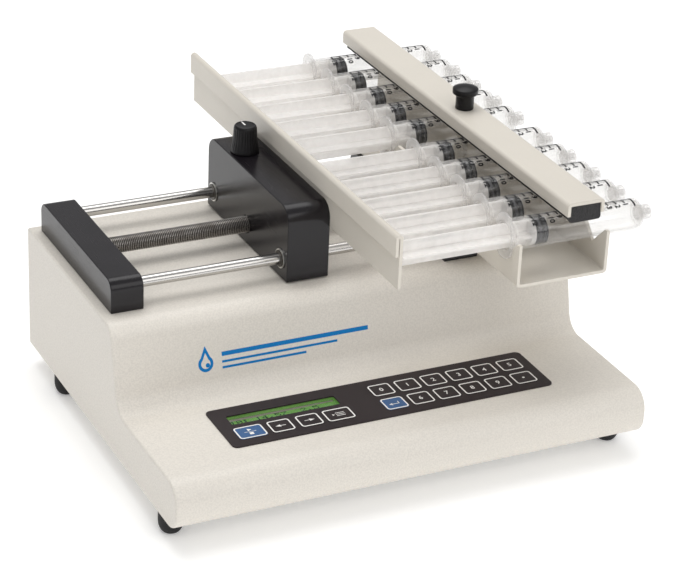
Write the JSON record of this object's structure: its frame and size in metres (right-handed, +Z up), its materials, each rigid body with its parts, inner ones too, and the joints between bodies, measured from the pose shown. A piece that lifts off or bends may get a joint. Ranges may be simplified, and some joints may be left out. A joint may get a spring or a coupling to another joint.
{
  "type": "syringe pump",
  "caption": "Bench-top multi-channel syringe pump: a lead-screw carriage pushes a row of syringes held in a notched rack under a padded clamp bar.",
  "frame": {"origin": "on the bench plane, under the centre of the whole pump's bounding box (case plus the syringe row that overhangs it to the rear and right)", "axes": "+Z up, +X along the drive in the direction of infusion (to the user's right), +Y from the keypad to the rear panel"},
  "size_m": [0.295, 0.3048, 0.1646],
  "materials": {
    "case_paint": "textured powder coat",
    "beige_paint": "smooth satin enamel",
    "plated_steel": "zinc plated",
    "black_anodised": "satin black anodised",
    "polished_steel": "ground and polished",
    "screw_steel": "rolled thread, oiled",
    "bronze": "sintered bronze",
    "black_rubber": "matt rubber",
    "foam_rubber": "closed-cell foam",
    "belt_rubber": "fibre reinforced",
    "overlay_black": "fine matt polyester",
    "key_black": "fine matt polyester",
    "key_blue": "fine matt polyester",
    "knob_black": "moulded phenolic",
    "connector_black": "moulded",
    "board_green": "solder mask",
    "display": "liquid crystal display",
    "clear_window": "clear polyester",
    "clear_polypropylene": "translucent polypropylene",
    "plunger_plastic": "translucent polyethylene",
    "motor_metal": "laminated steel",
    "transformer": "varnished laminations"
  },
  "bodies": {
    "case": {"housing_shell": "case_paint", "base_plate": "plated_steel", "rear_panel": "case_paint", "rubber_feet": "black_rubber", "m3_screws": "plated_steel", "m4_screws": "plated_steel", "left_end_block": "black_anodised", "right_end_block": "black_anodised", "guide_rods": "polished_steel", "screw_bushings": "bronze", "stepper_motor": "motor_metal", "motor_bracket": "plated_steel", "timing_belt": "belt_rubber", "main_board": "board_green", "board_standoffs": "plated_steel", "power_transformer": "transformer", "lcd_module": "display", "lcd_window": "clear_window", "keypad_overlay": "overlay_black", "keypad_board": "board_green", "power_inlet": "connector_black", "serial_connector": "plated_steel", "syringe_rack": "beige_paint", "syringe_barrels": "clear_polypropylene"},
    "plungers": {"plunger_rods": "plunger_plastic", "plunger_stoppers": "black_rubber"},
    "carriage": {"pusher_block": "black_anodised", "guide_bushings": "bronze", "bushing_clips": "plated_steel", "pusher_plate": "beige_paint", "plate_screws": "plated_steel", "nut_retainer": "plated_steel"},
    "lead_screw": {"lead_screw": "screw_steel", "leadscrew_pulley": "black_anodised"},
    "motor_rotor": {"motor_shaft": "plated_steel", "motor_pulley": "black_anodised"},
    "release_knob": {"release_knob": "knob_black", "release_shaft": "plated_steel"},
    "half_nut": {"half_nut": "bronze"},
    "clamp_bar": {"clamp_bar": "beige_paint", "clamp_foam": "foam_rubber"},
    "clamp_knob": {"clamp_knob": "knob_black", "clamp_screw": "plated_steel"},
    "power_rocker": {"power_rocker": "connector_black"},
    "key_0": {"key_0": "key_black"},
    "key_1": {"key_1": "key_black"},
    "key_2": {"key_2": "key_black"},
    "key_3": {"key_3": "key_black"},
    "key_4": {"key_4": "key_black"},
    "key_5": {"key_5": "key_black"},
    "key_6": {"key_6": "key_black"},
    "key_7": {"key_7": "key_black"},
    "key_8": {"key_8": "key_black"},
    "key_9": {"key_9": "key_black"},
    "key_decimal": {"key_decimal": "key_black"},
    "key_enter": {"key_enter": "key_blue"},
    "key_run_stop": {"key_run_stop": "key_blue"},
    "key_left": {"key_left": "key_black"},
    "key_right": {"key_right": "key_black"},
    "key_select": {"key_select": "key_black"}
  },
  "joints": [
    {"name": "infuse_drive", "type": "slide", "parent": "case", "child": "plungers", "axis": [1, 0, 0], "range_m": [0, 0.056]},
    {"name": "carriage_retract", "type": "slide", "parent": "plungers", "child": "carriage", "axis": [1, 0, 0], "range_m": [-0.08, 0]},
    {"name": "lead_screw_turn", "type": "hinge", "parent": "case", "child": "lead_screw", "pos_m": [-0.0335, 0.01275, 0.0983], "axis": [1, 0, 0], "range_deg": [-19078.8, 0]},
    {"name": "motor_turn", "type": "hinge", "parent": "case", "child": "motor_rotor", "pos_m": [0.0665, 0.01275, 0.0542], "axis": [1, 0, 0], "range_deg": [-19078.8, 0]},
    {"name": "half_nut_release", "type": "hinge", "parent": "carriage", "child": "release_knob", "pos_m": [-0.029, 0.03955, 0.1309], "axis": [0, 0, 1], "range_deg": [0, 90.5]},
    {"name": "half_nut_slide", "type": "slide", "parent": "carriage", "child": "half_nut", "axis": [0, 1, 0], "range_m": [0, 0.0025]},
    {"name": "clamp_lift", "type": "slide", "parent": "case", "child": "clamp_bar", "axis": [0, 0, 1], "range_m": [0, 0.015]},
    {"name": "clamp_knob_turn", "type": "hinge", "parent": "clamp_bar", "child": "clamp_knob", "pos_m": [0.0976, 0.01275, 0.1502], "axis": [0, 0, 1], "range_deg": [0, 4282]},
    {"name": "power_rocker_tilt", "type": "hinge", "parent": "case", "child": "power_rocker", "pos_m": [-0.0725, 0.07165, 0.0502], "axis": [1, 0, 0], "range_deg": [0, 12]},
    {"name": "key_0_press", "type": "slide", "parent": "case", "child": "key_0", "axis": [0, 0, -1], "range_m": [0, 0.00035]},
    {"name": "key_1_press", "type": "slide", "parent": "case", "child": "key_1", "axis": [0, 0, -1], "range_m": [0, 0.00035]},
    {"name": "key_2_press", "type": "slide", "parent": "case", "child": "key_2", "axis": [0, 0, -1], "range_m": [0, 0.00035]},
    {"name": "key_3_press", "type": "slide", "parent": "case", "child": "key_3", "axis": [0, 0, -1], "range_m": [0, 0.00035]},
    {"name": "key_4_press", "type": "slide", "parent": "case", "child": "key_4", "axis": [0, 0, -1], "range_m": [0, 0.00035]},
    {"name": "key_5_press", "type": "slide", "parent": "case", "child": "key_5", "axis": [0, 0, -1], "range_m": [0, 0.00035]},
    {"name": "key_6_press", "type": "slide", "parent": "case", "child": "key_6", "axis": [0, 0, -1], "range_m": [0, 0.00035]},
    {"name": "key_7_press", "type": "slide", "parent": "case", "child": "key_7", "axis": [0, 0, -1], "range_m": [0, 0.00035]},
    {"name": "key_8_press", "type": "slide", "parent": "case", "child": "key_8", "axis": [0, 0, -1], "range_m": [0, 0.00035]},
    {"name": "key_9_press", "type": "slide", "parent": "case", "child": "key_9", "axis": [0, 0, -1], "range_m": [0, 0.00035]},
    {"name": "key_decimal_press", "type": "slide", "parent": "case", "child": "key_decimal", "axis": [0, 0, -1], "range_m": [0, 0.00035]},
    {"name": "key_enter_press", "type": "slide", "parent": "case", "child": "key_enter", "axis": [0, 0, -1], "range_m": [0, 0.00035]},
    {"name": "key_run_stop_press", "type": "slide", "parent": "case", "child": "key_run_stop", "axis": [0, 0, -1], "range_m": [0, 0.00035]},
    {"name": "key_left_press", "type": "slide", "parent": "case", "child": "key_left", "axis": [0, 0, -1], "range_m": [0, 0.00035]},
    {"name": "key_right_press", "type": "slide", "parent": "case", "child": "key_right", "axis": [0, 0, -1], "range_m": [0, 0.00035]},
    {"name": "key_select_press", "type": "slide", "parent": "case", "child": "key_select", "axis": [0, 0, -1], "range_m": [0, 0.00035]}
  ],
  "couplings": [
    {"joint": "lead_screw_turn", "follows": "infuse_drive", "rad_per_m": -5936.9},
    {"joint": "motor_turn", "follows": "infuse_drive", "rad_per_m": -5936.9},
    {"joint": "half_nut_release", "follows": "half_nut_slide", "rad_per_m": 628.32},
    {"joint": "clamp_knob_turn", "follows": "clamp_lift", "rad_per_m": 4947.4}
  ]
}
